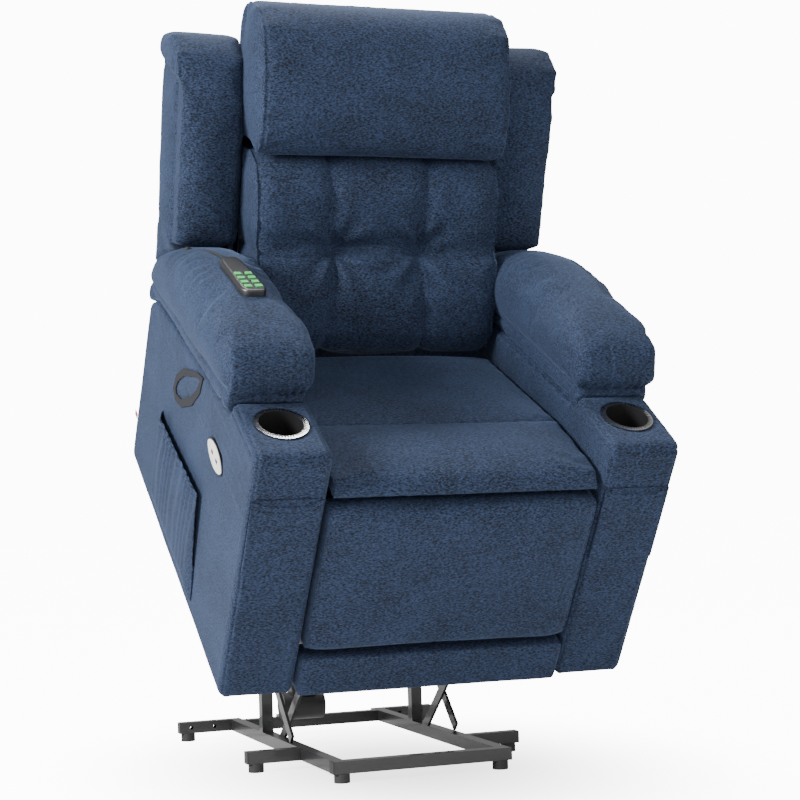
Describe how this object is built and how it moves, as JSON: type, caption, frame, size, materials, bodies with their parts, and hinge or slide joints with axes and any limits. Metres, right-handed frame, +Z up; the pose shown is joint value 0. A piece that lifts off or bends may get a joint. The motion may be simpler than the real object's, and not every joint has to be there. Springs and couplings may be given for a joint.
{
  "type": "lift recliner chair",
  "caption": "Upholstered power lift recliner on a steel tube base, shown raised and tipped forward, with cup holders, side pocket, handset and hinged leg rest.",
  "frame": {"origin": "on the floor under the middle of the whole raised chair", "axes": "+Z up, +X towards the sitter's left, the chair faces -Y"},
  "size_m": [0.8765, 1.1183, 1.5876],
  "materials": {
    "frame_paint": "satin black powder coat",
    "cap_plastic": "matte",
    "foot_rubber": "matte",
    "motor_plastic": "fine textured",
    "rod_steel": "brushed",
    "spring_steel": "oiled",
    "frame_wood": "raw plywood",
    "chenille": "navy chenille, fine twill weave",
    "cup_metal": "polished",
    "plate_plastic": "satin white",
    "tag_fabric": "woven",
    "loop_webbing": "woven webbing",
    "handset_plastic": "satin",
    "key_plastic": "satin green",
    "cord_rubber": "matte"
  },
  "bodies": {
    "base": {"base_side_rails": "frame_paint", "base_cross_bars": "frame_paint", "base_outriggers": "frame_paint", "tube_end_caps": "cap_plastic", "levelling_feet": "foot_rubber", "lift_posts": "frame_paint", "lift_pivot_beams": "frame_paint", "lift_struts": "frame_paint", "lift_actuator_clevis": "frame_paint"},
    "rear_links": {"rear_lift_links": "frame_paint", "lift_torque_tube": "frame_paint"},
    "front_links": {"front_lift_links": "frame_paint"},
    "lift_actuator": {"lift_actuator": "motor_plastic"},
    "lift_rod": {"lift_rod": "rod_steel"},
    "chassis": {"chassis_side_plates": "frame_paint", "chassis_cross_members": "frame_paint", "seat_frame": "frame_wood", "seat_springs": "spring_steel", "seat_cushion": "chenille", "front_panel": "chenille", "rear_panel": "chenille", "control_box": "motor_plastic", "power_supply": "motor_plastic", "arm_cover_left": "chenille", "arm_cover_right": "chenille", "arm_frames": "frame_wood", "cup_holders": "cup_metal", "arm_pad_left": "chenille", "arm_pad_right": "chenille", "usb_plate": "plate_plastic", "side_pocket": "chenille", "front_pockets": "chenille", "seam_tag": "tag_fabric", "pull_loop": "loop_webbing", "handset": "handset_plastic", "handset_cord": "cord_rubber", "cord_grommet": "cord_rubber"},
    "leg_lower": {"leg_drive_links": "frame_paint"},
    "leg_upper": {"leg_upper_links": "frame_paint"},
    "leg_panel": {"leg_rest_board": "frame_paint", "leg_rest_pad": "chenille"},
    "leg_actuator": {"leg_actuator": "motor_plastic"},
    "leg_rod": {"leg_rod": "rod_steel"},
    "recline_actuator": {"recline_actuator": "motor_plastic"},
    "recline_rod": {"recline_rod": "rod_steel"},
    "backrest": {"back_frame": "frame_wood", "back_cover": "chenille", "back_cushion": "chenille", "headrest": "chenille", "wing_left": "chenille", "wing_right": "chenille"},
    "key_1a": {"handset_key_1a": "key_plastic"},
    "key_1b": {"handset_key_1b": "key_plastic"},
    "key_2a": {"handset_key_2a": "key_plastic"},
    "key_2b": {"handset_key_2b": "key_plastic"},
    "key_3a": {"handset_key_3a": "key_plastic"},
    "key_3b": {"handset_key_3b": "key_plastic"},
    "key_4a": {"handset_key_4a": "key_plastic"},
    "key_4b": {"handset_key_4b": "key_plastic"}
  },
  "joints": [
    {"name": "lift", "type": "hinge", "parent": "base", "child": "rear_links", "pos_m": [0, 0.12193, 0.2477], "axis": [-1, 0, 0], "range_deg": [0, 82.7]},
    {"name": "chassis_tilt", "type": "hinge", "parent": "rear_links", "child": "chassis", "pos_m": [0, 0.30343, 0.63585], "axis": [1, 0, 0], "range_deg": [0, 48.7]},
    {"name": "front_link_swing", "type": "hinge", "parent": "base", "child": "front_links", "pos_m": [0, 0.01169, 0.2025], "axis": [-1, 0, 0], "range_deg": [0, 99.9]},
    {"name": "lift_actuator_tilt", "type": "hinge", "parent": "base", "child": "lift_actuator", "pos_m": [-0.062, 0.466, 0.078], "axis": [-1, 0, 0], "range_deg": [0, 1.12]},
    {"name": "lift_rod_slide", "type": "slide", "parent": "lift_actuator", "child": "lift_rod", "axis": [0, 0.8273, -0.5618], "range_m": [0, 0.09883]},
    {"name": "leg_rest", "type": "hinge", "parent": "chassis", "child": "leg_lower", "pos_m": [0, -0.22959, 0.57306], "axis": [-1, 0, 0], "range_deg": [0, 76.6]},
    {"name": "leg_knee", "type": "hinge", "parent": "leg_lower", "child": "leg_upper", "pos_m": [0, -0.0759, 0.36311], "axis": [1, 0, 0], "range_deg": [0, 98.9]},
    {"name": "leg_panel_tilt", "type": "hinge", "parent": "leg_upper", "child": "leg_panel", "pos_m": [0, -0.32422, 0.43082], "axis": [-1, 0, 0], "range_deg": [0, 108.3]},
    {"name": "leg_actuator_tilt", "type": "hinge", "parent": "chassis", "child": "leg_actuator", "pos_m": [0.015, 0.15028, 0.64473], "axis": [-1, 0, 0], "range_deg": [0, 1.33]},
    {"name": "leg_rod_slide", "type": "slide", "parent": "leg_actuator", "child": "leg_rod", "axis": [0, -0.9491, -0.315], "range_m": [0, 0.07384]},
    {"name": "recline", "type": "hinge", "parent": "chassis", "child": "backrest", "pos_m": [0, 0.09923, 0.80088], "axis": [-1, 0, 0], "range_deg": [0, 45]},
    {"name": "recline_actuator_tilt", "type": "hinge", "parent": "chassis", "child": "recline_actuator", "pos_m": [0.084, -0.00861, 0.53515], "axis": [-1, 0, 0], "range_deg": [0, 2.27]},
    {"name": "recline_rod_slide", "type": "slide", "parent": "recline_actuator", "child": "recline_rod", "axis": [0, -0.5841, -0.8117], "range_m": [0, 0.06015]},
    {"name": "press_key_1a", "type": "slide", "parent": "chassis", "child": "key_1a", "axis": [0, 0.4848, -0.8746], "range_m": [0, 0.001], "stiffness_N_per_m": 400, "springref_m": -0.0005},
    {"name": "press_key_1b", "type": "slide", "parent": "chassis", "child": "key_1b", "axis": [0, 0.4848, -0.8746], "range_m": [0, 0.001], "stiffness_N_per_m": 400, "springref_m": -0.0005},
    {"name": "press_key_2a", "type": "slide", "parent": "chassis", "child": "key_2a", "axis": [0, 0.4848, -0.8746], "range_m": [0, 0.001], "stiffness_N_per_m": 400, "springref_m": -0.0005},
    {"name": "press_key_2b", "type": "slide", "parent": "chassis", "child": "key_2b", "axis": [0, 0.4848, -0.8746], "range_m": [0, 0.001], "stiffness_N_per_m": 400, "springref_m": -0.0005},
    {"name": "press_key_3a", "type": "slide", "parent": "chassis", "child": "key_3a", "axis": [0, 0.4848, -0.8746], "range_m": [0, 0.001], "stiffness_N_per_m": 400, "springref_m": -0.0005},
    {"name": "press_key_3b", "type": "slide", "parent": "chassis", "child": "key_3b", "axis": [0, 0.4848, -0.8746], "range_m": [0, 0.001], "stiffness_N_per_m": 400, "springref_m": -0.0005},
    {"name": "press_key_4a", "type": "slide", "parent": "chassis", "child": "key_4a", "axis": [0, 0.4848, -0.8746], "range_m": [0, 0.001], "stiffness_N_per_m": 400, "springref_m": -0.0005},
    {"name": "press_key_4b", "type": "slide", "parent": "chassis", "child": "key_4b", "axis": [0, 0.4848, -0.8746], "range_m": [0, 0.001], "stiffness_N_per_m": 400, "springref_m": -0.0005}
  ],
  "couplings": [
    {"joint": "chassis_tilt", "follows": "lift", "ratio": 0.58888},
    {"joint": "front_link_swing", "follows": "lift", "ratio": 1.208},
    {"joint": "lift_actuator_tilt", "follows": "lift", "ratio": 0.013513},
    {"joint": "lift_rod_slide", "follows": "lift", "m_per_rad": 0.068464},
    {"joint": "leg_knee", "follows": "leg_rest", "ratio": 1.2911},
    {"joint": "leg_panel_tilt", "follows": "leg_rest", "ratio": 1.4138},
    {"joint": "leg_actuator_tilt", "follows": "leg_rest", "ratio": 0.017391},
    {"joint": "leg_rod_slide", "follows": "leg_rest", "m_per_rad": 0.05522},
    {"joint": "recline_actuator_tilt", "follows": "recline", "ratio": 0.050485},
    {"joint": "recline_rod_slide", "follows": "recline", "m_per_rad": 0.076575}
  ]
}
